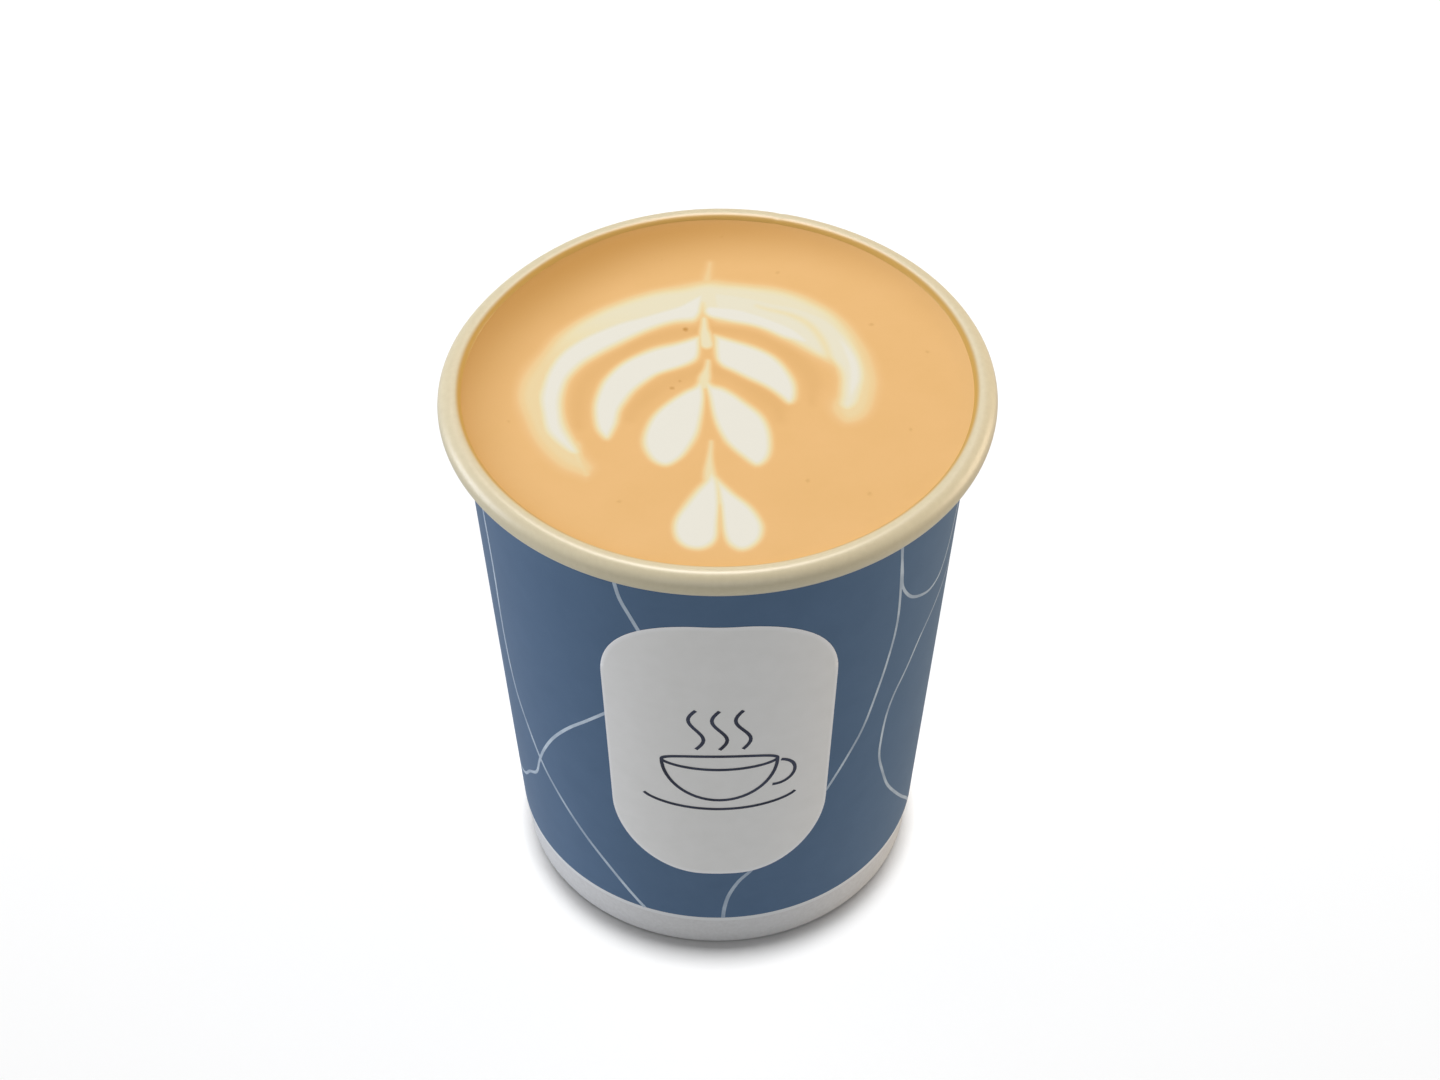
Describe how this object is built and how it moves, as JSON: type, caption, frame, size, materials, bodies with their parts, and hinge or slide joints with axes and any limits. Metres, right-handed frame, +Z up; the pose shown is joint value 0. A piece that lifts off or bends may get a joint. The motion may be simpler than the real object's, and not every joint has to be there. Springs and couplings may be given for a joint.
{
  "type": "latte in a takeaway cup",
  "caption": "Latte with poured milk art, filled nearly to the brim of a small takeaway paper cup with a rolled rim and a printed wrap.",
  "frame": {"origin": "on the table, under the middle of the cup's foot", "axes": "+Z up along the cup's axis; -Y is the side that carries the white label"},
  "size_m": [0.08, 0.08, 0.091],
  "materials": {
    "cup_board": "coated cream board with a soft sheen",
    "wrap_board": "grey-blue printed paper, satin",
    "white_print": "white printed field, satin",
    "pale_print": "pale blue printed lines, satin",
    "dark_print": "dark blue printed lines, satin",
    "latte": "fine milk foam over coffee, soft wet sheen"
  },
  "bodies": {
    "root": {"cup_wall": "cup_board", "cup_base": "cup_board", "wrap": "wrap_board", "latte": "latte"}
  },
  "joints": []
}
